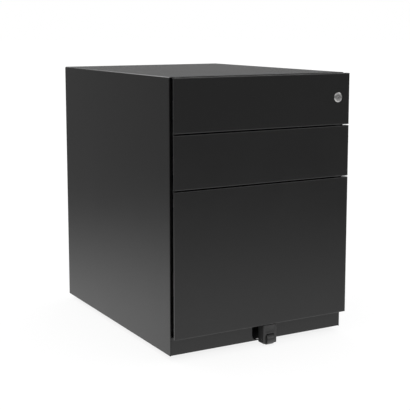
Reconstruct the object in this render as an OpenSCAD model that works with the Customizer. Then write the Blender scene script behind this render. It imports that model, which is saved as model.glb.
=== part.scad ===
// Mobile three-drawer filing pedestal in folded sheet steel.
// The origin is on the floor under the middle of the object. +Z is up,
// and the drawers open towards -Y. Left and right are seen from the front.

/* [Casing] */
// Width of the casing and of the drawer fronts
case_w = 420; // [410:1:440]
// Depth of the casing, without the fronts
case_d = 544; // [540:1:580]
// Height of the casing from its lower edge to its top
case_h = 559.5; // [559.5:0.5:580]
// Space between the floor and the casing's lower edge
floor_gap = 10.5; // [10.5:0.5:12]
// Thickness of the casing's sheet
case_t = 1; // [0.8:0.1:1]
// Outer radius of the folds between top and sides
wrap_r = 3; // [2.5:0.5:4]
// Depth of the doubled front edge
hem_d = 12; // [8:1:14]
// Height of the plinth's top edge above the floor
plinth_top = 49.8; // [49.4:0.1:50]

/* [Fronts] */
// Distance that the fronts stand ahead of the casing
front_proud = 21; // [19:0.5:22]
// Height of the lower edge of the lowest front above the floor
front_z = 48.5; // [48.5:0.5:50]
// Height of each of the two upper fronts
small_h = 108.8; // [108:0.2:112]
// Height of the filing drawer's front
file_h = 298.5; // [298:0.5:300]
// Gap between two fronts
front_gap = 2.2; // [1.5:0.1:3]
// Thickness of a front at its edges
front_edge = 5; // [4:0.5:6]
// Sheet thickness of a front
front_t = 0.9; // [0.7:0.1:1]
// Radius of a front's edges
front_r = 2; // [1.5:0.5:2.5]
// Width of each side wing that the fingers pull
wing_w = 19; // [18.5:0.5:22]

/* [Drawers] */
// Depth of the two upper drawers
small_len = 440; // [420:10:460]
// Depth of the filing drawer
file_len = 490; // [485:5:500]
// Height of the sides of the upper drawers
small_side_h = 80; // [70:2:84]
// Height of the sides of the filing drawer
file_side_h = 248; // [230:2:260]
// Sheet thickness of the drawers
box_t = 0.8; // [0.7:0.1:0.9]
// Opening of the upper drawers
small_travel = 300; // [200:10:300]
// Opening of the filing drawer
file_travel = 440; // [300:10:440]

/* [Lock] */
// Distance of the lock from the right edge
lock_edge = 30; // [29:0.5:32]
// Distance of the lock from the top edge of its front
lock_drop = 50.5; // [46:0.5:60]
// Diameter of the lock's face
lock_d = 21; // [19:0.5:22]
// Distance that the lock stands ahead of the front
lock_proud = 1.8; // [1:0.1:2.5]
// Lift of the locking bar when the key turns a quarter
bar_lift = 11.5; // [11.5:0.5:13]

/* [Castors] */
// Wheel radius of the four castors
wheel_r = 20; // [19:0.5:20]
// Distance of a wheel's axle behind its swivel axis
trail = 15; // [12:1:16]
// Distance of the swivel axes from the casing's sides
castor_in_x = 65; // [60:1:80]
// Distance of the swivel axes from the casing's front and back
castor_in_y = 62; // [60:1:80]
// Distance of the anti-tilt castor from the middle, to the right
tilt_x = 18.4; // [10:0.1:20]
// Wheel radius of the anti-tilt castor
tilt_r = 11.5; // [10:0.5:11.5]

/* [Hidden] */

$fn = 48;
eps = 0.01;

// Main planes
front_y = -(case_d + front_proud + lock_proud) / 2 + lock_proud;
case_y0 = front_y + front_proud;
case_y1 = case_y0 + case_d;
case_z0 = floor_gap;
case_z1 = floor_gap + case_h;
case_x = case_w / 2;

// Drawer fronts, from the bottom up
file_z = front_z;
middle_z = file_z + file_h + front_gap;
top_z = middle_z + small_h + front_gap;
pan_inset = 2.5;
pan_y1 = case_y0 + 7.6;
pan_t = 1;
pan_x = case_x - wing_w;
pan_y0 = front_y + front_edge - front_t;

// Slides and uprights
upright_x = case_x - 16.5;
upright_w = 30;
upright_t = 1.2;
upright_y = case_y0 + 18;
slide_w = 12.7;
member_t = 1.2;
cage_t = 0.6;
ball_r = 2.2;
inner_ball_r = 1.6;
small_slide_y = case_y0 + 20;
small_slide_len = 400;
file_slide_y = case_y0 + 16;
file_slide_len = 470;
small_case_h = 35.2;
file_case_h = 45.6;
box_x = upright_x - slide_w;
shell_r = 1.6;
shell_lip = 6;

// A drawer is its front's z and height, and its shell's z, height and depth
top_drawer = [top_z, small_h, top_z + 13, small_side_h, small_len];
middle_drawer = [middle_z, small_h, middle_z + 13, small_side_h, small_len];
filing_drawer = [file_z, file_h, file_z + 8.5, file_side_h, file_len];
small_slide_up = 30;
file_slide_up = 93;
flange_w = 14;
rivet_r = 1.8;
screw_r = 2;
rivet_steps = [0.08, 0.5, 0.92];

// Lock and locking bar
lock_x = case_x - lock_edge;
lock_z = top_z + small_h - lock_drop;
lock_body_r = 8.2;
plug_r = 6.4;
plug_gap = 0.05;
tail_w = 6;
lock_back = front_y + 20;
cam_y = case_y0 + 1.2;
cam_t = 2;
cam_r = 20;
cam_w = 8;
bar_y = case_y0 + 4;
bar_t = 2;
bar_x0 = upright_x - 0.5;
bar_x1 = case_x - 3;
bar_z0 = 62;
bar_z1 = 562 - bar_lift;
catch_h = 10;
catch_x = case_x - 7;
catch_zs = [top_z + 20, middle_z + 20, file_z + 150];
guide_zs = [72, 338, 545];
guide_h = 8;

// Castors
castor_x = case_x - castor_in_x;
front_castor_y = case_y0 + castor_in_y;
rear_castor_y = case_y1 - castor_in_y;
front_left = [-castor_x, front_castor_y];
front_right = [castor_x, front_castor_y];
rear_left = [-castor_x, rear_castor_y];
rear_right = [castor_x, rear_castor_y];
plate_z = 48;
plate_t = 2;
plate_w = 56;
rail_w = 84;
rail_t = 2;
rail_h = 12;
base_z = plate_z + plate_t + rail_t;
castor_rivet_r = 2.5;
rivet_pitch = 42;
king_r = 4;
crown_z = 43.4;
crown_t = 2;
fork_in = 9.4;
fork_t = 2;
wheel_w = 17;
axle_r = 3;

// Anti-tilt castor under the filing drawer's front
tilt_w = 32.6;
tilt_wheel_w = 18.4;
tilt_slot_w = 20.4;
tilt_y0 = case_y0 - 14.5;
tilt_y1 = case_y0 + 5.5;
tilt_z0 = case_z0 - 5;
tilt_z1 = 46;
tilt_axle_y = case_y0 - 9;
tilt_axle_z = tilt_r + 2.2;
tilt_axle_r = 2;
window_x0 = -16.5;
window_x1 = 43.5;
window_r = 10;
window_lip = 3;
window_top = 46.8;

steel = [0.13, 0.13, 0.135];
zinc = [0.62, 0.63, 0.64];
chrome = [0.75, 0.75, 0.76];
nylon = [0.08, 0.08, 0.085];

// Helpers: a flat outline extruded along one axis
module along_x(x0, x1) {
    translate([x0, 0, 0])
        rotate([90, 0, 90])
            linear_extrude(x1 - x0) children();
}

module along_y(y0, y1) {
    translate([0, y1, 0])
        rotate([90, 0, 0])
            linear_extrude(y1 - y0) children();
}

module along_z(z0, z1) {
    translate([0, 0, z0])
        linear_extrude(z1 - z0) children();
}

module both_sides() {
    children();
    mirror([1, 0, 0]) children();
}

// Box from its low corner to its high corner
module block(low, high) {
    translate(low) cube(high - low);
}

module round_rect(low, high, r) {
    translate([low[0] + r, low[1]])
        square([high[0] - low[0] - 2 * r, high[1] - low[1]]);
    translate([low[0], low[1] + r])
        square([high[0] - low[0], high[1] - low[1] - 2 * r]);
    for (x = [low[0] + r, high[0] - r], y = [low[1] + r, high[1] - r])
        translate([x, y]) circle(r);
}

// Outline whose two corners at y = 0 are round
module round_front(w, d, r) {
    translate([-w / 2 + r, 0]) square([w - 2 * r, d]);
    translate([-w / 2, r]) square([w, d - r]);
    for (s = [-1, 1])
        translate([s * (w / 2 - r), r]) circle(r);
}

// Block from y = 0 to y = d, whose four edges at y = 0 are round
module soft_block(w, h, d, r) {
    intersection() {
        along_z(0, h) round_front(w, d, r);
        along_x(-w / 2, w / 2)
            translate([0, h / 2]) rotate(-90) mirror([1, 0]) round_front(h, d, r);
    }
}

// Folded tray, closed at y = 0 and open at y = d
module tray(w, h, d, r, t) {
    difference() {
        soft_block(w, h, d, r);
        translate([0, t, t]) soft_block(w - 2 * t, h - 2 * t, d, r - t);
    }
}

// The same tray, closed at its rear, y = 0, and open at y = -d
module rear_tray(w, h, d, r, t) {
    mirror([0, 1, 0]) tray(w, h, d, r, t);
}

// Upside-down U of the casing's top and sides
module round_top(w, z0, z1, r) {
    translate([-w / 2, z0]) square([w, z1 - r - z0]);
    translate([-w / 2 + r, z0]) square([w - 2 * r, z1 - z0]);
    for (s = [-1, 1])
        translate([s * (w / 2 - r), z1 - r]) circle(r);
}

module wrap_section(t) {
    difference() {
        round_top(case_w, case_z0, case_z1, wrap_r);
        round_top(case_w - 2 * t, case_z0 - 1, case_z1 - t, wrap_r - t);
    }
}

// Round nose of the doubled front edge
module hem_nose() {
    nose_y = case_y0 + case_t;
    side_x = case_x - case_t;
    both_sides() {
        translate([side_x, nose_y, case_z0])
            cylinder(h = case_h - wrap_r, r = case_t);
        translate([case_x - wrap_r, nose_y, case_z1 - wrap_r])
            rotate([90, 0, 0])
                rotate_extrude(angle = 90)
                    translate([wrap_r - case_t, 0]) circle(case_t);
    }
    translate([-case_x + wrap_r, nose_y, case_z1 - case_t])
        rotate([0, 90, 0]) cylinder(h = case_w - 2 * wrap_r, r = case_t);
}

module outer_wrap() {
    foot_flange = 15;
    color(steel) {
        along_y(case_y0 + case_t, case_y1) wrap_section(case_t);
        along_y(case_y0 + case_t, case_y0 + hem_d) wrap_section(2 * case_t);
        hem_nose();
        both_sides()
            block([case_x - foot_flange, case_y0 + 20, case_z0],
                  [case_x - case_t / 2, case_y1 - 16, case_z0 + case_t]);
    }
}

module back_panel() {
    color(steel)
        intersection() {
            translate([0, case_y1 - 2, case_z0])
                rear_tray(case_w - 2 * case_t, case_h - case_t, 12, 2, case_t);
            along_y(case_y1 - 20, case_y1)
                round_top(case_w - 2 * case_t, case_z0, case_z1 - case_t,
                          wrap_r - case_t);
        }
}

module castor_rivet_places() {
    for (place = [front_left, front_right, rear_left, rear_right],
         dx = [-1, 1], dy = [-1, 1])
        translate([place[0] + dx * rivet_pitch / 2,
                   place[1] + dy * rivet_pitch / 2, 0]) children();
}

module base_pan() {
    x1 = case_x - case_t;
    y0 = case_y0 + 14;
    y1 = case_y1 - 14.5;
    color(steel)
        difference() {
            union() {
                block([-x1, y0, base_z], [x1, y1, base_z + case_t]);
                both_sides()
                    block([x1 - case_t, y0, base_z - 10], [x1, y1, base_z + eps]);
            }
            castor_rivet_places()
                translate([0, 0, base_z - 1]) cylinder(h = 4, r = castor_rivet_r);
        }
}

module plinth_section() {
    depth = 14;
    difference() {
        round_rect([0, case_z0], [depth, plinth_top], 2);
        round_rect([case_t, case_z0 + case_t],
                   [depth + 4, plinth_top - case_t], 1);
        translate([depth - 2, case_z0 - 1]) square([4, plinth_top]);
    }
}

module plinth() {
    plinth_x = case_x - 2 * case_t - 0.2;
    slot_x = tilt_w / 2 + 3;
    window_z0 = case_z0 + window_lip;
    color(steel)
        difference() {
            translate([0, case_y0 + 0.5, 0])
                along_x(-plinth_x, plinth_x) plinth_section();
            along_y(case_y0 - 1, case_y0 + 5)
                round_rect([window_x0, window_z0], [window_x1, window_top], window_r);
            along_y(case_y0 - 1, case_y0 + 20) {
                translate([tilt_x - slot_x, case_z0 - 1])
                    square([2 * slot_x, window_top - case_z0 + 1 - 8]);
                translate([window_x0 + 4, window_top - 12])
                    square([window_x1 - window_x0 - 8, 12]);
            }
        }
}

// Channel with its web towards the drawers
module upright(y0) {
    z1 = case_z1 - wrap_r;
    color(steel)
        both_sides()
            difference() {
                block([upright_x, y0, base_z + case_t],
                      [case_x - case_t, y0 + upright_w, z1]);
                block([upright_x + upright_t, y0 + upright_t, base_z],
                      [case_x, y0 + upright_w - upright_t, z1 + 1]);
            }
}

module front_uprights() {
    upright(upright_y);
}

module rear_uprights() {
    upright(case_y0 + 420);
}

module top_front_rail() {
    z1 = case_z1 - case_t;
    z0 = z1 - 12;
    color(steel)
        difference() {
            block([-upright_x, upright_y, z0],
                  [upright_x, upright_y + upright_w, z1]);
            block([-case_x, upright_y + upright_t, z0 + upright_t],
                  [case_x, upright_y + upright_w + 1, z1 - upright_t]);
        }
}

module castor_rail(y) {
    rail_x = case_x - 2 * case_t;
    color(steel)
        difference() {
            block([-rail_x, y - rail_w / 2, base_z - rail_h],
                  [rail_x, y + rail_w / 2, base_z]);
            block([-case_x, y - rail_w / 2 + rail_t, base_z - rail_h - 1],
                  [case_x, y + rail_w / 2 - rail_t, base_z - rail_t]);
            castor_rivet_places()
                translate([0, 0, base_z - rail_t - 1])
                    cylinder(h = 5, r = castor_rivet_r);
        }
}

module front_castor_rail() {
    castor_rail(front_castor_y);
}

module rear_castor_rail() {
    castor_rail(rear_castor_y);
}

// Top plate with its race and the riveted king pin
module castor_plates() {
    color(zinc)
        difference() {
            for (place = [front_left, front_right, rear_left, rear_right])
                translate([place[0], place[1], 0]) {
                    along_z(plate_z, plate_z + plate_t)
                        round_rect([-plate_w / 2, -plate_w / 2],
                                   [plate_w / 2, plate_w / 2], 5);
                    translate([0, 0, crown_z + crown_t + 0.3])
                        cylinder(h = plate_z - crown_z - crown_t - 0.3,
                                 r1 = 13, r2 = 15);
                    translate([0, 0, crown_z - 2.4])
                        cylinder(h = plate_z - crown_z + 2.4, r = king_r);
                    translate([0, 0, crown_z - 2.4]) cylinder(h = 2, r = 7);
                }
            castor_rivet_places()
                translate([0, 0, plate_z - 1]) cylinder(h = 4, r = castor_rivet_r);
        }
}

module castor_rivets() {
    color(zinc)
        castor_rivet_places() {
            translate([0, 0, plate_z - 1.6]) cylinder(h = 1.6, r1 = 3.4, r2 = 4.2);
            translate([0, 0, plate_z])
                cylinder(h = base_z + case_t - plate_z, r = castor_rivet_r);
            translate([0, 0, base_z + case_t]) cylinder(h = 1.4, r1 = 4.2, r2 = 3);
        }
}

// Fork leg, from its crown down to the axle
module fork_leg_outline() {
    polygon([[-13, crown_z + crown_t], [17, crown_z + crown_t],
             [trail + 7.5, wheel_r], [trail - 7.5, wheel_r],
             [-13, crown_z - 5]]);
    translate([trail, wheel_r]) circle(7.5);
}

module castor_fork(place) {
    color(zinc)
        translate([place[0], place[1], 0])
            difference() {
                union() {
                    both_sides()
                        along_x(fork_in, fork_in + fork_t) fork_leg_outline();
                    translate([0, 0, crown_z])
                        intersection() {
                            cylinder(h = crown_t, r = 17);
                            block([-fork_in - fork_t, -13, -1],
                                  [fork_in + fork_t, 17, crown_t + 1]);
                        }
                }
                translate([0, 0, crown_z - 1])
                    cylinder(h = crown_t + 2, r = king_r + 0.06);
                translate([-20, trail, wheel_r])
                    rotate([0, 90, 0]) cylinder(h = 40, r = axle_r);
            }
}

module castor_axle(place) {
    half = fork_in + fork_t;
    color(chrome)
        translate([place[0], place[1] + trail, wheel_r])
            rotate([0, 90, 0]) {
                translate([0, 0, -half]) cylinder(h = 2 * half, r = axle_r);
                translate([0, 0, -half - 2]) cylinder(h = 2, r1 = 4, r2 = 5);
                translate([0, 0, half]) cylinder(h = 2, r1 = 5, r2 = 4);
            }
}

// Half outline of a wheel: radius to the right, width upwards
module wheel_outline(r, w, bore, shoulder, dish) {
    difference() {
        union() {
            translate([bore, -w / 2]) square([r - shoulder - bore, w]);
            translate([bore, -w / 2 + shoulder])
                square([r - bore, w - 2 * shoulder]);
            for (s = [-1, 1])
                translate([r - shoulder, s * (w / 2 - shoulder)])
                    circle(shoulder);
        }
        for (s = [-1, 1])
            translate([bore + 3, s * w / 2 - dish])
                square([r * 0.75 - bore - 3, 2 * dish]);
    }
}

module castor_wheel(place) {
    color(nylon)
        translate([place[0], place[1] + trail, wheel_r])
            rotate([0, 90, 0])
                rotate_extrude()
                    wheel_outline(wheel_r, wheel_w, axle_r + 0.06, 2.5, 1.5);
}

// C-shaped slide section: u runs from the upright towards the drawer
module c_section(u0, u1, h, t, lip) {
    difference() {
        round_rect([u0, -h / 2], [u1, h / 2], 1.4);
        round_rect([u0 + t, -h / 2 + t], [u1 - t, h / 2 - t], 0.5);
        translate([u1 - t - 0.5, -h / 2 + lip]) square([t + 1, h - 2 * lip]);
    }
}

// Pair of slide members at height z, along y0 to y1
module slide_pair(z, y0, y1) {
    both_sides()
        translate([upright_x, 0, z])
            mirror([1, 0, 0]) along_y(y0, y1) children();
}

// Case member: open towards the drawer, with lips that hold the balls
module case_members(z, y0, len, h) {
    color(zinc)
        slide_pair(z, y0, y0 + len) c_section(0, 9.5, h, member_t, 3.2);
}

module rivet_bores(z, y0, len) {
    both_sides()
        for (k = rivet_steps)
            translate([box_x - 3, y0 + k * len, z])
                rotate([0, 90, 0]) cylinder(h = 6, r = rivet_r);
}

// Drawer member: open towards the upright
module drawer_members(z, y0, len, u0, h) {
    color(zinc)
        difference() {
            slide_pair(z, y0, y0 + len)
                translate([slide_w, 0]) mirror([1, 0])
                    c_section(0, slide_w - u0, h, member_t, member_t);
            rivet_bores(z, y0, len);
        }
}

// Ball cage: two rows of n balls, at height +-row, u from the upright
module ball_cages(z, y, len, n, u0, u1, row, ball_u, r) {
    color(chrome)
        both_sides()
            translate([upright_x, 0, z])
                mirror([1, 0, 0]) {
                    difference() {
                        along_y(y - len / 2, y + len / 2)
                            c_section(u0, u1, 2 * row + cage_t, cage_t, cage_t);
                        ball_places(y, len, n, row, ball_u)
                            cylinder(h = 4, r = r + 0.1, center = true);
                    }
                    ball_places(y, len, n, row, ball_u) sphere(r);
                }
}

module ball_places(y, len, n, row, ball_u) {
    pitch = len / n;
    for (k = [0 : n - 1], s = [-1, 1])
        translate([ball_u, y - len / 2 + (k + 0.5) * pitch, s * row]) children();
}

small_row = small_case_h / 2 - member_t - ball_r - 0.2;
file_row = file_case_h / 2 - member_t - ball_r - 0.2;
small_drawer_h = 2 * (small_row - ball_r - 0.2);
file_middle_h = 2 * (file_row - ball_r - 0.2);
inner_row = file_middle_h / 2 - member_t - inner_ball_r - 0.2;
file_drawer_h = 2 * (inner_row - inner_ball_r - 0.2);
outer_ball_u = 5.2;
inner_ball_u = 7.4;
small_cage_y = small_slide_y + small_slide_len / 2;
file_cage_y = file_slide_y + file_slide_len / 2;
top_slide_z = top_drawer[2] + small_slide_up;
middle_slide_z = middle_drawer[2] + small_slide_up;
filing_slide_z = filing_drawer[2] + file_slide_up;

module small_case_members(z) {
    case_members(z, small_slide_y, small_slide_len, small_case_h);
}

module small_drawer_members(z) {
    drawer_members(z, small_slide_y, small_slide_len, 2.6, small_drawer_h);
}

module small_cages(z) {
    ball_cages(z, small_cage_y, 90, 6, 1.5, 7.8, small_row, outer_ball_u, ball_r);
}

module filing_slide_case_members() {
    case_members(filing_slide_z, file_slide_y, file_slide_len, file_case_h);
}

module filing_slide_middle_members() {
    color(zinc)
        slide_pair(filing_slide_z, file_slide_y, file_slide_y + file_slide_len)
            c_section(2.6, 11, file_middle_h, 1, 2.4);
}

module filing_slide_drawer_members() {
    drawer_members(filing_slide_z, file_slide_y, file_slide_len, 5.2,
                   file_drawer_h);
}

module filing_slide_outer_cages() {
    ball_cages(filing_slide_z, file_cage_y, 180, 10, 1.5, 7.8,
               file_row, outer_ball_u, ball_r);
}

module filing_slide_inner_cages() {
    ball_cages(filing_slide_z, file_cage_y, 180, 12, 4.1, 9.6,
               inner_row, inner_ball_u, inner_ball_r);
}

// Drawer parts
module drawer_front(d) {
    color(steel) {
        translate([0, front_y, d[0]])
            tray(case_w, d[1], front_edge, front_r, front_t);
        wing_returns(d);
    }
}

// Folded returns at the upper and lower edge of a front's side wings
module wing_returns(d) {
    return_y = front_y + 11;
    both_sides()
        for (z = [d[0], d[0] + d[1] - front_t])
            block([pan_x + 1, front_y + front_edge - eps, z],
                  [case_x - 1.5, return_y, z + front_t]);
}

module top_drawer_front() {
    color(steel)
        difference() {
            drawer_front(top_drawer);
            translate([lock_x, front_y - 1, lock_z])
                rotate([-90, 0, 0]) cylinder(h = 3, r = lock_body_r);
        }
}

function pan_z0(d) = d[0] + pan_inset;
function pan_z1(d) = d[0] + d[1] - pan_inset;

// Liner of a front: a shallow box whose flange closes the side wings
module front_pan(d, catch_z) {
    z0 = pan_z0(d);
    z1 = pan_z1(d);
    back = front_y + front_edge;
    color(steel)
        difference() {
            union() {
                difference() {
                    block([-case_x + front_t, pan_y0, d[0] + front_t],
                          [case_x - front_t, back, d[0] + d[1] - front_t]);
                    block([-pan_x + pan_t, pan_y0 - 1, z0 + pan_t],
                          [pan_x - pan_t, back + 1, z1 - pan_t]);
                }
                translate([0, pan_y1, z0])
                    rear_tray(2 * pan_x, z1 - z0, pan_y1 - back + eps, 2, pan_t);
                block([pan_x - pan_t, pan_y1 - 2 - eps, catch_z],
                      [pan_x, pan_y1 + 3, catch_z + catch_h]);
                block([pan_x - pan_t, pan_y1 + 2, catch_z],
                      [catch_x, pan_y1 + 3, catch_z + catch_h]);
            }
            front_screw_places(d)
                translate([0, -4, 0]) rotate([-90, 0, 0]) cylinder(h = 8, r = screw_r);
        }
}

// The four screws between a front's liner and the drawer's shell
module front_screw_places(d) {
    for (s = [-1, 1], z = [d[2] + 12, d[2] + d[3] - 14])
        translate([s * (box_x - flange_w / 2), pan_y1, z]) children();
}

module top_drawer_front_pan() {
    color(steel)
        difference() {
            front_pan(top_drawer, catch_zs[0]);
            block([pan_x - 2, cam_y - 0.6, lock_z - 18],
                  [pan_x + 1, cam_y + cam_t + 0.6, lock_z + cam_w / 2 + 2]);
        }
}

module round_bottom(w, h, r) {
    translate([-w / 2, r]) square([w, h - r]);
    translate([-w / 2 + r, 0]) square([w - 2 * r, h]);
    for (s = [-1, 1])
        translate([s * (w / 2 - r), r]) circle(r);
}

module shell_section(h) {
    w = 2 * box_x;
    difference() {
        round_bottom(w, h, shell_r);
        translate([0, box_t]) round_bottom(w - 2 * box_t, h, shell_r - box_t);
    }
    for (s = [-1, 1])
        translate([s * (box_x - shell_lip / 2), h - box_t / 2])
            square([shell_lip, box_t], center = true);
}

module shell_flange(h) {
    w = 2 * box_x;
    difference() {
        round_bottom(w, h, shell_r);
        translate([-box_x + flange_w, flange_w]) square([w - 2 * flange_w, h]);
    }
}

module drawer_shell(d, slide_z, slide_y, slide_len) {
    color(steel)
        difference() {
            translate([0, 0, d[2]]) {
                along_y(pan_y1, pan_y1 + d[4]) shell_section(d[3]);
                along_y(pan_y1, pan_y1 + box_t) shell_flange(d[3]);
            }
            rivet_bores(slide_z, slide_y, slide_len);
            front_screw_places(d)
                translate([0, -1, 0]) rotate([-90, 0, 0]) cylinder(h = 4, r = screw_r);
        }
}

module small_shell(d) {
    drawer_shell(d, d[2] + small_slide_up, small_slide_y, small_slide_len);
}

module drawer_back(d) {
    w = 2 * (box_x - box_t);
    h = d[3] - 2 * box_t;
    color(steel)
        translate([0, pan_y1 + d[4], d[2] + box_t])
            intersection() {
                rear_tray(w, h, 12, 1.6, box_t);
                along_y(-20, 0) round_bottom(w, h, shell_r - box_t);
            }
}

// Rivets of the slide members and screws of the front
module drawer_fasteners(d, slide_z, slide_y, slide_len) {
    inside_x = box_x - box_t;
    color(zinc) {
        both_sides()
            for (k = rivet_steps)
                translate([inside_x, slide_y + k * slide_len, slide_z])
                    rotate([0, 90, 0]) {
                        cylinder(h = box_t + member_t, r = rivet_r);
                        translate([0, 0, -1]) cylinder(h = 1, r1 = 2.4, r2 = 3.4);
                    }
        front_screw_places(d) {
            translate([0, -pan_t, 0])
                rotate([-90, 0, 0]) cylinder(h = pan_t + box_t, r = screw_r);
            translate([0, box_t, 0])
                rotate([-90, 0, 0])
                    difference() {
                        cylinder(h = 2, r1 = 3.8, r2 = 2.8);
                        translate([0, 0, 1]) {
                            cube([3.6, 0.8, 2.2], center = true);
                            cube([0.8, 3.6, 2.2], center = true);
                        }
                    }
        }
    }
}

module small_fasteners(d) {
    drawer_fasteners(d, d[2] + small_slide_up, small_slide_y, small_slide_len);
}

// Rails that carry the hooks of hanging files
module hanging_file_rails() {
    z = filing_drawer[2] + filing_drawer[3];
    edge_x = box_x - 16.3;
    color(zinc)
        both_sides()
            along_y(pan_y1 + 2, pan_y1 + filing_drawer[4] - 2) {
                translate([edge_x, z]) square([box_x - edge_x, 1]);
                translate([edge_x, z]) square([2, 11]);
            }
}

// Lock
module lock_housing() {
    flange_r = lock_d / 2;
    chamfer = 1.4;
    color(chrome)
        translate([lock_x, front_y, lock_z])
            rotate([-90, 0, 0])
                difference() {
                    union() {
                        translate([0, 0, -lock_proud])
                            cylinder(h = chamfer, r1 = flange_r - 2.4, r2 = flange_r);
                        translate([0, 0, chamfer - lock_proud])
                            cylinder(h = lock_proud - chamfer, r = flange_r);
                        cylinder(h = lock_back - front_y, r = lock_body_r);
                    }
                    translate([0, 0, -lock_proud - 1])
                        cylinder(h = 40, r = plug_r + plug_gap);
                    translate([0, -flange_r, -lock_proud - 0.4])
                        cube([1.6, 4.4, 2], center = true);
                }
}

module lock_nut() {
    color(zinc)
        translate([lock_x, front_y + front_t, lock_z])
            rotate([-90, 0, 0])
                difference() {
                    cylinder(h = 3, r = 12.4, $fn = 6);
                    translate([0, 0, -1]) cylinder(h = 5, r = lock_body_r);
                }
}

module lock_plug() {
    face_y = front_y - lock_proud + 0.3;
    color(chrome)
        difference() {
            union() {
                translate([lock_x, face_y, lock_z])
                    rotate([-90, 0, 0]) cylinder(h = lock_back - face_y, r = plug_r);
                block([lock_x - tail_w / 2, lock_back - eps, lock_z - tail_w / 2],
                      [lock_x + tail_w / 2, cam_y + cam_t + 0.4, lock_z + tail_w / 2]);
            }
            translate([lock_x, face_y + 6, lock_z])
                rotate([0, -35, 0]) cube([8.6, 14, 1.7], center = true);
        }
}

// At rest the cam hangs straight down, clear of the locking bar
module lock_cam() {
    color(zinc)
        difference() {
            along_y(cam_y, cam_y + cam_t) {
                translate([lock_x, lock_z]) circle(7);
                translate([lock_x - cam_w / 2, lock_z - cam_r])
                    square([cam_w, cam_r]);
            }
            block([lock_x - tail_w / 2, cam_y - 1, lock_z - tail_w / 2],
                  [lock_x + tail_w / 2, cam_y + cam_t + 1, lock_z + tail_w / 2]);
        }
}

// Notched bar: raised, its teeth stand ahead of the drawers' catches
module locking_bar() {
    tab_z = lock_z + cam_w / 2 + 0.3 - bar_lift;
    color(zinc)
        difference() {
            union() {
                block([bar_x0, bar_y, bar_z0], [bar_x1, bar_y + bar_t, bar_z1]);
                block([bar_x0 + 1, bar_y - 3.2, tab_z],
                      [bar_x1 - 3, bar_y + eps, tab_z + 2]);
            }
            for (z = catch_zs)
                block([bar_x0 - 1, bar_y - 1, z - 1],
                      [catch_x + 1, bar_y + bar_t + 1, z + catch_h + 1]);
        }
}

module locking_bar_guides() {
    color(nylon)
        for (z = guide_zs)
            difference() {
                block([bar_x0 + 1, bar_y - 2, z],
                      [case_x - 2 * case_t, upright_y, z + guide_h]);
                block([bar_x0 - 1, bar_y - 0.3, z - 1],
                      [bar_x1 + 0.3, bar_y + bar_t + 0.3, z + guide_h + 1]);
            }
}

// Anti-tilt castor
module anti_tilt_bracket() {
    z1 = pan_z0(filing_drawer);
    half = tilt_w / 2 - 1;
    color(zinc)
        difference() {
            block([tilt_x - half, tilt_y0 + 1.5, tilt_z1],
                  [tilt_x + half, case_y0 - 1.5, z1]);
            block([tilt_x - half + 3, tilt_y0, tilt_z1 + 1.5],
                  [tilt_x + half - 3, case_y0, z1 - 1.5]);
        }
}

module anti_tilt_housing() {
    slot = tilt_slot_w / 2;
    slot_top = tilt_axle_z + tilt_r + 1.2;
    color(nylon)
        difference() {
            along_y(tilt_y0, tilt_y1)
                round_rect([tilt_x - tilt_w / 2, tilt_z0],
                           [tilt_x + tilt_w / 2, tilt_z1], 2);
            along_y(tilt_y0 - 1, tilt_axle_y + tilt_r + 1.2) {
                round_rect([tilt_x - slot, tilt_z0 - 8], [tilt_x + slot, slot_top], 3);
            }
            translate([tilt_x - tilt_w, tilt_axle_y, tilt_axle_z])
                rotate([0, 90, 0]) cylinder(h = 2 * tilt_w, r = tilt_axle_r);
        }
}

module anti_tilt_axle() {
    half = tilt_w / 2 - 0.6;
    color(zinc)
        translate([tilt_x - half, tilt_axle_y, tilt_axle_z])
            rotate([0, 90, 0]) cylinder(h = 2 * half, r = tilt_axle_r);
}

module anti_tilt_wheel() {
    color(nylon)
        translate([tilt_x, tilt_axle_y, tilt_axle_z])
            rotate([0, 90, 0])
                rotate_extrude()
                    wheel_outline(tilt_r, tilt_wheel_w, tilt_axle_r + 0.06, 2, 1);
}

outer_wrap();
back_panel();
base_pan();
plinth();
front_uprights();
rear_uprights();
top_front_rail();
front_castor_rail();
rear_castor_rail();
castor_plates();
castor_rivets();
small_case_members(top_slide_z);  // top_slide_case_members
small_case_members(middle_slide_z);  // middle_slide_case_members
filing_slide_case_members();
locking_bar_guides();
locking_bar();
top_drawer_front();
top_drawer_front_pan();
small_shell(top_drawer);  // top_drawer_shell
drawer_back(top_drawer);  // top_drawer_back
small_drawer_members(top_slide_z);  // top_slide_drawer_members
small_fasteners(top_drawer);  // top_drawer_fasteners
lock_housing();
lock_nut();
lock_plug();
lock_cam();
drawer_front(middle_drawer);  // middle_drawer_front
front_pan(middle_drawer, catch_zs[1]);  // middle_drawer_front_pan
small_shell(middle_drawer);  // middle_drawer_shell
drawer_back(middle_drawer);  // middle_drawer_back
small_drawer_members(middle_slide_z);  // middle_slide_drawer_members
small_fasteners(middle_drawer);  // middle_drawer_fasteners
drawer_front(filing_drawer);  // filing_drawer_front
front_pan(filing_drawer, catch_zs[2]);  // filing_drawer_front_pan
drawer_shell(filing_drawer, filing_slide_z, file_slide_y, file_slide_len);  // filing_drawer_shell
drawer_back(filing_drawer);  // filing_drawer_back
filing_slide_drawer_members();
drawer_fasteners(filing_drawer, filing_slide_z, file_slide_y, file_slide_len);  // filing_drawer_fasteners
hanging_file_rails();
anti_tilt_bracket();
anti_tilt_housing();
anti_tilt_axle();
anti_tilt_wheel();
small_cages(top_slide_z);  // top_slide_ball_cages
small_cages(middle_slide_z);  // middle_slide_ball_cages
filing_slide_middle_members();
filing_slide_outer_cages();
filing_slide_inner_cages();
castor_fork(front_left);  // front_left_fork
castor_axle(front_left);  // front_left_axle
castor_wheel(front_left);  // front_left_wheel
castor_fork(front_right);  // front_right_fork
castor_axle(front_right);  // front_right_axle
castor_wheel(front_right);  // front_right_wheel
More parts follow.
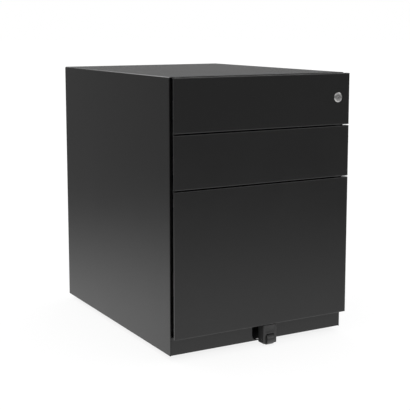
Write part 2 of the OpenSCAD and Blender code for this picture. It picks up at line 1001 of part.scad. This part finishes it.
castor_fork(rear_left);  // rear_left_fork
castor_axle(rear_left);  // rear_left_axle
castor_wheel(rear_left);  // rear_left_wheel
castor_fork(rear_right);  // rear_right_fork
castor_axle(rear_right);  // rear_right_axle
castor_wheel(rear_right);  // rear_right_wheel
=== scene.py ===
"""Studio scene of the mobile filing pedestal, built around its CAD model."""
import math

import bmesh
import bpy
from mathutils import Euler, Matrix, Vector


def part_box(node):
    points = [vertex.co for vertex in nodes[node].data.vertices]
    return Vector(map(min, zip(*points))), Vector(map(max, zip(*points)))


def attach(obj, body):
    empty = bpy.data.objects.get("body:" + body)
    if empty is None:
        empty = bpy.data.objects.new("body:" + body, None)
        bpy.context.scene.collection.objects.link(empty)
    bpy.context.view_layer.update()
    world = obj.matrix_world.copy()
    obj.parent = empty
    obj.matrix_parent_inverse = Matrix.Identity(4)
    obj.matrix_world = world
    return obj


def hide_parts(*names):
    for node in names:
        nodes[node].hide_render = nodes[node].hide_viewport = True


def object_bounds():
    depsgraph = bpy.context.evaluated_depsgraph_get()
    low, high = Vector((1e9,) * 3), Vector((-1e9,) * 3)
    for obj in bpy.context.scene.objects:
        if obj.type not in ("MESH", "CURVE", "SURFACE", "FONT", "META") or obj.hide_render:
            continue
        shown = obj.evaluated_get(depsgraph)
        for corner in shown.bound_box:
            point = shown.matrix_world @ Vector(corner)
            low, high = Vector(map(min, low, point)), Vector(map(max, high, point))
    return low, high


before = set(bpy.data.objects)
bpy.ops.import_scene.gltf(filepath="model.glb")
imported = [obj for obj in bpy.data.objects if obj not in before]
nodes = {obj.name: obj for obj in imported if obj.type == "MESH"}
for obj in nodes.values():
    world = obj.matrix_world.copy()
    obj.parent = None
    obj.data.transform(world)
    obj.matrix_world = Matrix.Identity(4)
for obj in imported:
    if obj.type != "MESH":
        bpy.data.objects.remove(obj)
cad_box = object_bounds()
scene = bpy.context.scene


# ---------------------------------------------------------------- materials
class Shader:
    """A material's node tree with one Principled shader."""

    def __init__(self, name):
        self.material = bpy.data.materials.new(name)
        self.material.use_nodes = True
        self.tree = self.material.node_tree
        self.principled = self.tree.nodes["Principled BSDF"]
        self.coords = self.node("ShaderNodeTexCoord").outputs["Object"]

    def node(self, kind, **values):
        made = self.tree.nodes.new(kind)
        for key, value in values.items():
            if key in made.inputs:
                made.inputs[key].default_value = value
            else:
                setattr(made, key, value)
        return made

    def link(self, source, target):
        self.tree.links.new(source, target)

    def set(self, **values):
        for key, value in values.items():
            self.principled.inputs[key.replace("_", " ")].default_value = value

    def noise(self, scale, detail=2.0, roughness=0.5):
        made = self.node("ShaderNodeTexNoise", Scale=scale, Detail=detail,
                         Roughness=roughness)
        self.link(self.coords, made.inputs["Vector"])
        return made.outputs["Fac"]

    def ramp(self, source, low, high, out_low, out_high):
        made = self.node("ShaderNodeMapRange")
        for key, value in (("From Min", low), ("From Max", high),
                           ("To Min", out_low), ("To Max", out_high)):
            made.inputs[key].default_value = value
        self.link(source, made.inputs["Value"])
        return made.outputs["Result"]

    def curve(self, source, steps):
        """Turns -1 to 1 into the heights of a line through the steps."""
        top = max(height for _, height in steps)
        made = self.node("ShaderNodeValToRGB")
        stops = made.color_ramp.elements
        for k, (place, height) in enumerate(steps):
            stop = stops[k] if k < 2 else stops.new(1.0)
            stop.position = 0.5 + 0.5 * place
            stop.color = (height / top,) * 3 + (1,)
        self.link(self.ramp(source, -1, 1, 0, 1), made.inputs["Fac"])
        scaled = self.node("ShaderNodeMath", operation="MULTIPLY")
        self.link(made.outputs["Color"], scaled.inputs[0])
        scaled.inputs[1].default_value = top
        return scaled.outputs[0]

    def tint(self, source, dark, light):
        made = self.node("ShaderNodeValToRGB")
        made.color_ramp.elements[0].color = (*dark, 1)
        made.color_ramp.elements[1].color = (*light, 1)
        made.color_ramp.elements[0].position = 0.35
        made.color_ramp.elements[1].position = 0.65
        self.link(source, made.inputs["Fac"])
        return made.outputs["Color"]

    def bump(self, source, distance, strength=1.0, below=None):
        made = self.node("ShaderNodeBump", Distance=distance, Strength=strength)
        self.link(source, made.inputs["Height"])
        if below is not None:
            self.link(below, made.inputs["Normal"])
        return made.outputs["Normal"]


# Radius of the shaded rounding on sharp edges, in metres
PAINT_EDGE = 0.0006
METAL_EDGE = 0.0003
PLASTIC_EDGE = 0.0006


def grey(value, warm=0.0):
    return (value * (1 + warm), value, value * (1 - warm))


def soft_edges(s, radius, highlight_amount, below):
    """Rounds the sharp edges in the shading. Returns how much each spot is edge, as a patchy
    amount of painted highlight.
    """
    round_off = s.node("ShaderNodeBevel", samples=4, Radius=radius)
    s.link(below, round_off.inputs["Normal"])
    s.link(round_off.outputs[0], s.principled.inputs["Normal"])
    flat = s.node("ShaderNodeNewGeometry").outputs["Normal"]
    plain = s.node("ShaderNodeBevel", samples=4, Radius=radius)
    agree = s.node("ShaderNodeVectorMath", operation="DOT_PRODUCT")
    s.link(plain.outputs[0], agree.inputs[0])
    s.link(flat, agree.inputs[1])
    patchy_highlight = s.node("ShaderNodeMath", operation="MULTIPLY")
    # Edge mask scaled by the amount of painted highlight, made patchy by noise
    s.link(s.ramp(agree.outputs["Value"], 0.995, 0.9, 0, highlight_amount), patchy_highlight.inputs[0])
    s.link(s.ramp(s.noise(160, 4), 0.4, 0.7, 0.2, 1), patchy_highlight.inputs[1])
    return patchy_highlight.outputs[0]


def lighten(s, dark, light, amount):
    """Base colour that goes from dark to light by the amount."""
    mix = s.node("ShaderNodeMix", data_type="RGBA")
    s.link(amount, mix.inputs[0])
    s.link(dark, mix.inputs[6])
    mix.inputs[7].default_value = (*light, 1)
    s.link(mix.outputs[2], s.principled.inputs["Base Color"])


def powder_coat(name, base, rough, highlight_amount=0.5):
    """Satin powder coat: orange peel, slight waviness and a patchy painted highlight along the
    edges.
    """
    s = Shader(name)
    s.link(s.ramp(s.noise(11, 4), 0.3, 0.7, rough - 0.01, rough + 0.02),
           s.principled.inputs["Roughness"])
    peel = s.bump(s.noise(900, 2), distance=0.00003, strength=0.5)
    waves = s.bump(s.noise(4, 1), distance=0.0003, strength=0.3, below=peel)
    # Base colour lightened along the edges: a painted highlight
    painted_edge_highlight = soft_edges(s, PAINT_EDGE, highlight_amount, waves)
    speckle = s.tint(s.noise(520, 3), grey(base * 0.9), grey(base * 1.1))
    lighten(s, speckle, grey(base * 2.2), painted_edge_highlight)
    s.set(IOR=1.5)
    return s.material


def metal(name, base, rough, highlight_amount=0.3):
    """Plated steel with a fine grain and cloudy reflections."""
    s = Shader(name)
    cloud = s.tint(s.noise(35, 4), grey(base * 0.93, 0.01), grey(base * 1.04, 0.01))
    s.link(s.ramp(s.noise(60, 3), 0.3, 0.7, rough - 0.05, rough + 0.06),
           s.principled.inputs["Roughness"])
    grain = s.bump(s.noise(1400, 2), distance=0.00001, strength=0.4)
    # Base colour lightened along the edges: a painted highlight
    lighten(s, cloud, grey(min(1, base * 1.1)), soft_edges(s, METAL_EDGE, highlight_amount, grain))
    s.set(Metallic=1.0)
    return s.material


def plastic(name, base, rough, highlight_amount=0.3):
    """Moulded plastic with a fine spark-eroded texture."""
    s = Shader(name)
    s.link(s.ramp(s.noise(60, 3), 0.3, 0.7, rough - 0.04, rough + 0.05),
           s.principled.inputs["Roughness"])
    skin = s.bump(s.noise(2200, 2), distance=0.00003, strength=0.5)
    shade = s.tint(s.noise(20, 3), grey(base * 0.9), grey(base * 1.1))
    # Base colour lightened along the edges: a painted highlight
    lighten(s, shade, grey(base * 1.8), soft_edges(s, PLASTIC_EDGE, highlight_amount, skin))
    return s.material


FINISHES = {
    "casing_paint": powder_coat("casing_paint_look", 0.0115, 0.19),
    "inner_paint": powder_coat("inner_paint_look", 0.016, 0.32),
    "zinc_steel": metal("zinc_steel_look", 0.55, 0.36),
    "ball_steel": metal("ball_steel_look", 0.6, 0.2),
    "lock_chrome": metal("lock_chrome_look", 0.55, 0.3),
    "black_plastic": plastic("black_plastic_look", 0.03, 0.42),
    "wheel_nylon": plastic("wheel_nylon_look", 0.034, 0.38),
}
for part in nodes.values():
    for slot in part.material_slots:
        slot.material = FINISHES[slot.material.name]


# ---------------------------------------------------------------- mesh tools
# Pieces are made in millimetres, in the CAD's frame.
SHARP_ANGLE = math.radians(32)
BEVEL_ANGLE = math.radians(40)
CORNER_STEPS = 6
# Turn a piece made along Z so that it points along +X or +Y
AXES = {"X": Matrix.Rotation(math.pi / 2, 4, "Y"), "Y": Matrix.Rotation(-math.pi / 2, 4, "X")}


def box_mm(node):
    """Low and high corner of a CAD node."""
    low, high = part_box(node)
    return Vector(low) * 1000, Vector(high) * 1000


def new_object(name, bm):
    mesh = bpy.data.meshes.new(name)
    bmesh.ops.recalc_face_normals(bm, faces=bm.faces[:])
    bm.to_mesh(mesh)
    bm.free()
    obj = bpy.data.objects.new(name, mesh)
    scene.collection.objects.link(obj)
    smooth(mesh)
    return obj


def smooth(mesh):
    mesh.shade_smooth()
    mesh.set_sharp_from_angle(angle=SHARP_ANGLE)


def revolve(bm, profile, turn, steps=96):
    """Turns a closed (radius, height) outline round the Z axis, then places it."""
    on_axis = {k: bm.verts.new(turn @ Vector((0, 0, h)))
               for k, (r, h) in enumerate(profile) if r == 0}
    rings = []
    for step in range(steps):
        a = 2 * math.pi * step / steps
        rings.append([
            on_axis.get(k) or bm.verts.new(turn @ Vector((r * math.cos(a), r * math.sin(a), h)))
            for k, (r, h) in enumerate(profile)])
    for step, ring in enumerate(rings):
        after = rings[(step + 1) % steps]
        for k in range(len(profile)):
            m = (k + 1) % len(profile)
            corners = dict.fromkeys((ring[k], ring[m], after[m], after[k]))
            if len(corners) > 2:
                bm.faces.new(corners)


def carve(obj, cutters, width=0.0, segments=2):
    """Cuts other objects out of this one, and rounds the edges that this leaves."""
    for cutter in cutters:
        cut = obj.modifiers.new("cut", "BOOLEAN")
        cut.operation = "DIFFERENCE"
        cut.solver = "EXACT"
        cut.object = cutter
    if width:
        bevel = obj.modifiers.new("bevel", "BEVEL")
        bevel.width = width
        bevel.segments = segments
        bevel.limit_method = "ANGLE"
        bevel.angle_limit = BEVEL_ANGLE
    graph = bpy.context.evaluated_depsgraph_get()
    mesh = bpy.data.meshes.new_from_object(obj.evaluated_get(graph))
    obj.modifiers.clear()
    old = obj.data
    obj.data = mesh
    bpy.data.meshes.remove(old)
    for cutter in cutters:
        bpy.data.objects.remove(cutter)
    smooth(mesh)


def block_mm(low, high, turn=None):
    """Plain block, turned about the origin or placed by a matrix."""
    bm = bmesh.new()
    bmesh.ops.create_cube(bm, size=1)
    size = Vector(high) - Vector(low)
    middle = (Vector(high) + Vector(low)) / 2
    bmesh.ops.transform(bm, matrix=Matrix.Translation(middle) @ Matrix.Diagonal((*size, 1)),
                        verts=bm.verts[:])
    if turn is not None:
        bmesh.ops.transform(bm, matrix=turn, verts=bm.verts[:])
    return new_object("cutter", bm)


def round_block(low, high, radius):
    """Block along Y whose four long edges are round."""
    bm = bmesh.new()
    outline = []
    for sx, sz, start in ((1, 1, 0), (-1, 1, 90), (-1, -1, 180), (1, -1, 270)):
        cx = high[0] - radius if sx > 0 else low[0] + radius
        cz = high[2] - radius if sz > 0 else low[2] + radius
        for k in range(CORNER_STEPS + 1):
            a = math.radians(start + 90 * k / CORNER_STEPS)
            outline.append((cx + radius * math.cos(a), cz + radius * math.sin(a)))
    front = bm.faces.new([bm.verts.new((x, low[1], z)) for x, z in outline])
    made = bmesh.ops.extrude_face_region(bm, geom=[front])
    moved = [v for v in made["geom"] if isinstance(v, bmesh.types.BMVert)]
    bmesh.ops.translate(bm, vec=(0, high[1] - low[1], 0), verts=moved)
    return new_object("block", bm)


def drum(centre, axis, radius, half, steps=48):
    """Plain round cutter along X or Y."""
    bm = bmesh.new()
    revolve(bm, [(0, -half), (radius, -half), (radius, half), (0, half)],
            Matrix.Translation(centre) @ AXES[axis], steps)
    return new_object("cutter", bm)


def finish_piece(obj, name, body, slot, stands_for):
    """Scales a piece to metres and ties it to its body and to the nodes it replaces."""
    obj.name = obj.data.name = name
    obj.data.materials.clear()
    obj.data.materials.append(FINISHES[slot])
    obj.data.transform(Matrix.Scale(0.001, 4))
    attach(obj, body)
    if stands_for:
        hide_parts(*stands_for)


# ---------------------------------------------------------------- lock
LOCK_PROUD = 1.8  # how far the bezel stands out of the drawer's front
BARREL_R = 8.1
BARREL_FLAT = 0.6  # plain length at the barrel's front, before the thread
THREAD_PITCH = 0.9
THREAD_DEPTH = 0.45
THREAD_RUNOUT = 1.4
PLUG_R = 6.4
PLUG_GAP = 0.05
KEYWAY = (4.2, 0.85)  # half its length and half its width
KEYWAY_TURN = math.radians(-35)
KEYWAY_BACK = 7
WARDS = ((-2.6, -0.85, 0.9), (-0.4, 0.35, 0.8), (1.9, -0.85, 0.9))  # x, z and width
WARD_FRONT = 0.9
WARD_THICK = 0.5
TAIL_HALF = 3


def make_bezel(centre, rim, depth):
    """Dished bezel with a notch at twelve o'clock, on a threaded barrel."""
    profile = [(rim - 3.5, 0.25), (rim - 3.2, 0.02), (rim - 2.4, 0), (rim - 2.1, 0.06),
               (rim - 0.5, 1.0), (rim - 0.14, 1.3), (rim, 1.55), (rim, LOCK_PROUD)]
    h = LOCK_PROUD + BARREL_FLAT
    profile += [(BARREL_R, LOCK_PROUD), (BARREL_R, h)]
    while h < depth - THREAD_RUNOUT:
        profile += [(BARREL_R - THREAD_DEPTH, h + THREAD_PITCH / 2), (BARREL_R, h + THREAD_PITCH)]
        h += THREAD_PITCH
    profile += [(BARREL_R - 0.3, depth - 0.3), (BARREL_R - 0.6, depth),
                (PLUG_R + 0.1, depth), (PLUG_R + 0.1, 0.7)]
    bm = bmesh.new()
    revolve(bm, profile, Matrix.Translation(centre) @ AXES["Y"])
    bezel = new_object("bezel", bm)
    notch = block_mm(centre + Vector((-0.8, -2, rim - 2.2)), centre + Vector((0.8, 0.75, rim + 2)))
    carve(bezel, [notch], 0.1, 1)
    finish_piece(bezel, "lock_bezel", "top_drawer", "lock_chrome", ["lock_housing"])


def make_plug(centre, face, depth, tail):
    """Turned plug with a warded keyway in its face and a square tail for the cam."""
    edge = PLUG_R - PLUG_GAP
    bm = bmesh.new()
    revolve(bm, [(0, face), (edge - 0.7, face), (edge - 0.25, face + 0.14),
                 (edge, face + 0.5), (edge, depth), (0, depth)],
            Matrix.Translation(centre) @ AXES["Y"])
    plug = new_object("plug", bm)
    turn = Matrix.Translation(centre) @ Matrix.Rotation(KEYWAY_TURN, 4, "Y")
    long, wide = KEYWAY
    carve(plug, [block_mm((-long, -1, -wide), (long, KEYWAY_BACK, wide), turn)], 0.12, 2)
    inner = [block_mm((x, WARD_FRONT, z), (x + width, KEYWAY_BACK, z + WARD_THICK), turn)
             for x, z, width in WARDS]
    inner.append(block_mm((-TAIL_HALF, depth - 0.1, -TAIL_HALF), (TAIL_HALF, tail, TAIL_HALF),
                          Matrix.Translation(centre)))
    join(plug, inner)
    finish_piece(plug, "lock_core", "lock_plug", "lock_chrome", ["lock_plug"])


def make_lock():
    low, high = box_mm("lock_housing")
    centre = Vector(((low.x + high.x) / 2, low.y, (low.z + high.z) / 2))
    depth = high.y - low.y
    make_bezel(centre, (high.x - low.x) / 2, depth)
    face = box_mm("lock_plug")[0].y - centre.y
    tail = box_mm("lock_cam")[1].y + 0.4 - centre.y
    make_plug(centre, face, depth, tail)


def join(target, others):
    bpy.ops.object.select_all(action="DESELECT")
    for obj in [target, *others]:
        obj.select_set(True)
    bpy.context.view_layer.objects.active = target
    bpy.ops.object.join()


make_lock()


# ---------------------------------------------------------------- castors
TILT_CORNER = 2.0
TILT_SLOT_CORNER = 3.0
TILT_SLOT_SIDE = 1.0  # room beside the wheel
TILT_SLOT_ROUND = 1.2  # room behind and above it
TILT_PANEL_EDGE = 4.5  # border left round the sunk panel above the wheel
TILT_PANEL_TOP = 3.5
TILT_PANEL_DEPTH = 0.6
TILT_PANEL_CORNER = 1.2
TILT_AXLE_R = 2.0
TILT_BORE = 2.06
CASTOR_BORE = 3.06
PAST = 5.0  # how far a cutter reaches beyond the surface that it opens


def make_anti_tilt():
    """Moulded housing with rounded edges, and a wheel with a crowned tread."""
    low, high = box_mm("anti_tilt_housing")
    hub, radius, half = wheel_size("anti_tilt_wheel")
    side = half + TILT_SLOT_SIDE
    reach = radius + TILT_SLOT_ROUND
    slot = round_block((hub.x - side, low.y - PAST, low.z - TILT_SLOT_CORNER - PAST),
                       (hub.x + side, hub.y + reach, hub.z + reach), TILT_SLOT_CORNER)
    panel = round_block(
        (low.x + TILT_PANEL_EDGE, low.y - PAST, hub.z + radius + TILT_PANEL_EDGE),
        (high.x - TILT_PANEL_EDGE, low.y + TILT_PANEL_DEPTH, high.z - TILT_PANEL_TOP),
        TILT_PANEL_CORNER)
    axle_hole = drum(hub, "X", TILT_AXLE_R, high.x - low.x + PAST)
    body = round_block(low, high, TILT_CORNER)
    carve(body, [slot, panel, axle_hole], 0.5, 3)
    finish_piece(body, "anti_tilt_body", "filing_drawer", "black_plastic", ["anti_tilt_housing"])
    make_wheel("anti_tilt_wheel", "anti_tilt_roller", TILT_BORE)


def wheel_size(node):
    """Centre, radius and half width of a CAD wheel whose axle lies along X."""
    low, high = box_mm(node)
    return (low + high) / 2, (high.z - low.z) / 2, (high.x - low.x) / 2


def wheel_profile(radius, half, bore):
    """Closed outline of a small castor wheel: crowned tread, dished sides, hub boss."""
    side = [(bore, half - 0.1), (bore + 0.3, half), (bore + 2.0, half), (bore + 2.4, half - 0.4),
            (bore + 2.6, half - 1.1), (radius - 3.2, half - 1.1), (radius - 2.6, half - 0.5),
            (radius - 1.6, half - 0.25), (radius - 0.7, half - 0.6), (radius - 0.2, half - 1.3)]
    shoulder = [(radius - 0.05, half - 2.4)]
    right = side + shoulder
    return right + [(radius, 0)] + [(r, -h) for r, h in reversed(right)]


def make_wheel(node, name, bore):
    """Stands for a CAD wheel, on the body of the same name."""
    hub, radius, half = wheel_size(node)
    bm = bmesh.new()
    revolve(bm, wheel_profile(radius, half, bore), Matrix.Translation(hub) @ AXES["X"])
    finish_piece(new_object("wheel", bm), name, node, "wheel_nylon", [node])


make_anti_tilt()
for corner in ("front_left", "front_right", "rear_left", "rear_right"):
    make_wheel(corner + "_wheel", corner + "_tyre", CASTOR_BORE)


# ---------------------------------------------------------------- back
WELD_ROWS = 8
WELD_COLUMNS = 5
WELD_INSET = 9
WELD_END = 40  # from the first and last mark of a column to the panel's end
WELD_PROFILE = [(0, -0.1), (3.1, -0.1), (3.0, 0.02), (2.4, 0.22), (1.9, 0.16), (1.4, 0.03),
                (0, 0.0)]
WELD_STEPS = 24


def make_weld_marks():
    """Shallow spot-weld marks where the back panel's flanges meet the casing."""
    low, high = box_mm("back_panel")
    left, right = low.x + WELD_INSET, high.x - WELD_INSET
    bottom, top = low.z + WELD_END, high.z - WELD_END
    spots = []
    for k in range(WELD_ROWS):
        z = bottom + (top - bottom) * k / (WELD_ROWS - 1)
        spots += [(left, z), (right, z)]
    for k in range(1, WELD_COLUMNS):
        spots += [(left + (right - left) * k / WELD_COLUMNS, high.z - WELD_INSET)]
    bm = bmesh.new()
    for x, z in spots:
        revolve(bm, WELD_PROFILE, Matrix.Translation((x, high.y, z)) @ AXES["Y"], WELD_STEPS)
    finish_piece(new_object("welds", bm), "back_weld_marks", "casing", "casing_paint", [])


make_weld_marks()


# ---------------------------------------------------------------- stage
WORLD = 1.0
FLOOR_RADIUS = 40
FLOOR_ALBEDO = 0.20
FLOOR_GLOW = 0.85
# The glow stops between these depths inside the casing's outline, leaving a painted shadow under
# it
FLOOR_LIT = 0.032
FLOOR_DARK = 0.042
# The underside's shade: its grey, its height, and how far it stays inside the object's box
SHADE_ALBEDO = 0.01
SHADE_HEIGHT = 0.0004
SHADE_INSET = (0.004, 0.025)
DOME_RADIUS = 30
# The dome's brightness, by the sine of the height above the horizon: its edge,
# its lit part below that (from, to, and brightness there), and how much
# brighter the dim part gets on the far side and higher up.
DOME_EDGE = (-0.28, -0.17)
DOME_BRIGHT = (-0.4, -1.0, 0.88, 1.0)
DOME_DIM = (0.118, 0.212)
DOME_FAR_SIDE = (0.49, 0.87, 0)
DOME_SKY = ((0.0, 1.0), (0.36, 1.15), (0.44, 11.0), (0.56, 11.0), (0.7, 2.2), (1.0, 2.2))


def make_world():
    world = bpy.data.worlds.new("studio")
    world.use_nodes = True
    background = world.node_tree.nodes["Background"]
    background.inputs["Color"].default_value = (1, 1, 1, 1)
    background.inputs["Strength"].default_value = WORLD
    world.cycles_visibility.glossy = False
    scene.world = world


def make_floor():
    """Pale paper floor with a glow of its own, which fades under the object into a painted shadow.
    """
    bpy.ops.mesh.primitive_circle_add(vertices=96, radius=FLOOR_RADIUS, fill_type="NGON")
    floor = bpy.context.object
    floor.name = "floor"
    s = Shader("floor_paper")
    s.set(Base_Color=(FLOOR_ALBEDO,) * 3 + (1,), Roughness=1.0,
          Specular_IOR_Level=0.0, Emission_Color=(1, 1, 1, 1))
    axes = s.node("ShaderNodeSeparateXYZ")
    s.link(s.coords, axes.inputs[0])
    low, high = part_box("outer_wrap")
    inside = []
    for k, axis in enumerate("XY"):
        middle, half = (low[k] + high[k]) / 2, (high[k] - low[k]) / 2
        off = s.node("ShaderNodeMath", operation="SUBTRACT")
        s.link(axes.outputs[axis], off.inputs[0])
        off.inputs[1].default_value = middle
        size = s.node("ShaderNodeMath", operation="ABSOLUTE")
        s.link(off.outputs[0], size.inputs[0])
        inside.append(s.ramp(size.outputs[0], half - FLOOR_DARK, half - FLOOR_LIT, 0, 1))
    outside = s.node("ShaderNodeMath", operation="MAXIMUM")
    s.link(inside[0], outside.inputs[0])
    s.link(inside[1], outside.inputs[1])
    # No glow inside the casing's outline: a painted shadow under the object
    s.link(s.ramp(outside.outputs[0], 0, 1, 0, FLOOR_GLOW),
           s.principled.inputs["Emission Strength"])
    floor.data.materials.append(s.material)
    floor.visible_glossy = False


def make_underside_shade():
    """What reflections see below the casing: the dark floor in its shadow."""
    half_x, half_y = (cad_box[1][k] - SHADE_INSET[k] for k in (0, 1))
    bm = bmesh.new()
    corners = [(-half_x, -half_y), (half_x, -half_y), (half_x, half_y), (-half_x, half_y)]
    bm.faces.new([bm.verts.new((x, y, SHADE_HEIGHT)) for x, y in corners])
    shade = new_object("underside_shade", bm)
    s = Shader("underside_shade_dark")
    s.set(Base_Color=(SHADE_ALBEDO,) * 3 + (1,), Roughness=1.0, Specular_IOR_Level=0.0)
    shade.data.materials.append(s.material)
    shade.visible_camera = shade.visible_diffuse = shade.visible_shadow = False


def make_reflector():
    """Dome that only reflections see: bright below, dark at eye level."""
    bpy.ops.mesh.primitive_uv_sphere_add(segments=64, ring_count=32, radius=DOME_RADIUS)
    dome = bpy.context.object
    dome.name = "reflector_dome"
    s = Shader("reflector_glow")
    s.tree.nodes.remove(s.principled)
    unit = s.node("ShaderNodeVectorMath", operation="NORMALIZE")
    s.link(s.coords, unit.inputs[0])
    axes = s.node("ShaderNodeSeparateXYZ")
    s.link(unit.outputs["Vector"], axes.inputs[0])
    rise = axes.outputs["Z"]
    across = s.node("ShaderNodeVectorMath", operation="DOT_PRODUCT")
    across.inputs[1].default_value = DOME_FAR_SIDE
    s.link(unit.outputs["Vector"], across.inputs[0])
    dim = s.node("ShaderNodeMath", operation="MULTIPLY")
    s.link(s.ramp(across.outputs["Value"], -1, 1, *DOME_DIM), dim.inputs[0])
    s.link(s.curve(rise, DOME_SKY), dim.inputs[1])
    below = s.node("ShaderNodeMix", data_type="FLOAT")
    s.link(s.ramp(rise, *DOME_EDGE, 1, 0), below.inputs[0])
    s.link(dim.outputs[0], below.inputs[2])
    s.link(s.ramp(rise, *DOME_BRIGHT), below.inputs[3])
    glow = s.node("ShaderNodeEmission")
    s.link(below.outputs[0], glow.inputs["Strength"])
    s.link(glow.outputs[0], s.tree.nodes["Material Output"].inputs["Surface"])
    dome.data.materials.append(s.material)
    dome.visible_camera = dome.visible_diffuse = dome.visible_shadow = False
    dome.visible_transmission = dome.visible_volume_scatter = False
    s.material.cycles.emission_sampling = "NONE"


make_world()
make_floor()
make_underside_shade()
make_reflector()
scene.view_settings.view_transform = "Standard"
scene.view_settings.look = "None"


# ---------------------------------------------------------------- camera
LOOK_DOWN = 8.05
LOOK_RIGHT = 29.34
camera = bpy.data.objects.new("camera", bpy.data.cameras.new("camera"))
scene.collection.objects.link(camera)
scene.camera = camera
camera.data.sensor_width = 36
camera.data.lens = 86.5
camera.data.shift_y = -0.1
camera.location = (-1.082, -1.954, 0.670)
camera.rotation_euler = Euler((math.radians(90 - LOOK_DOWN), 0, math.radians(-LOOK_RIGHT)))
camera.data.clip_start, camera.data.clip_end = 0.05, 100
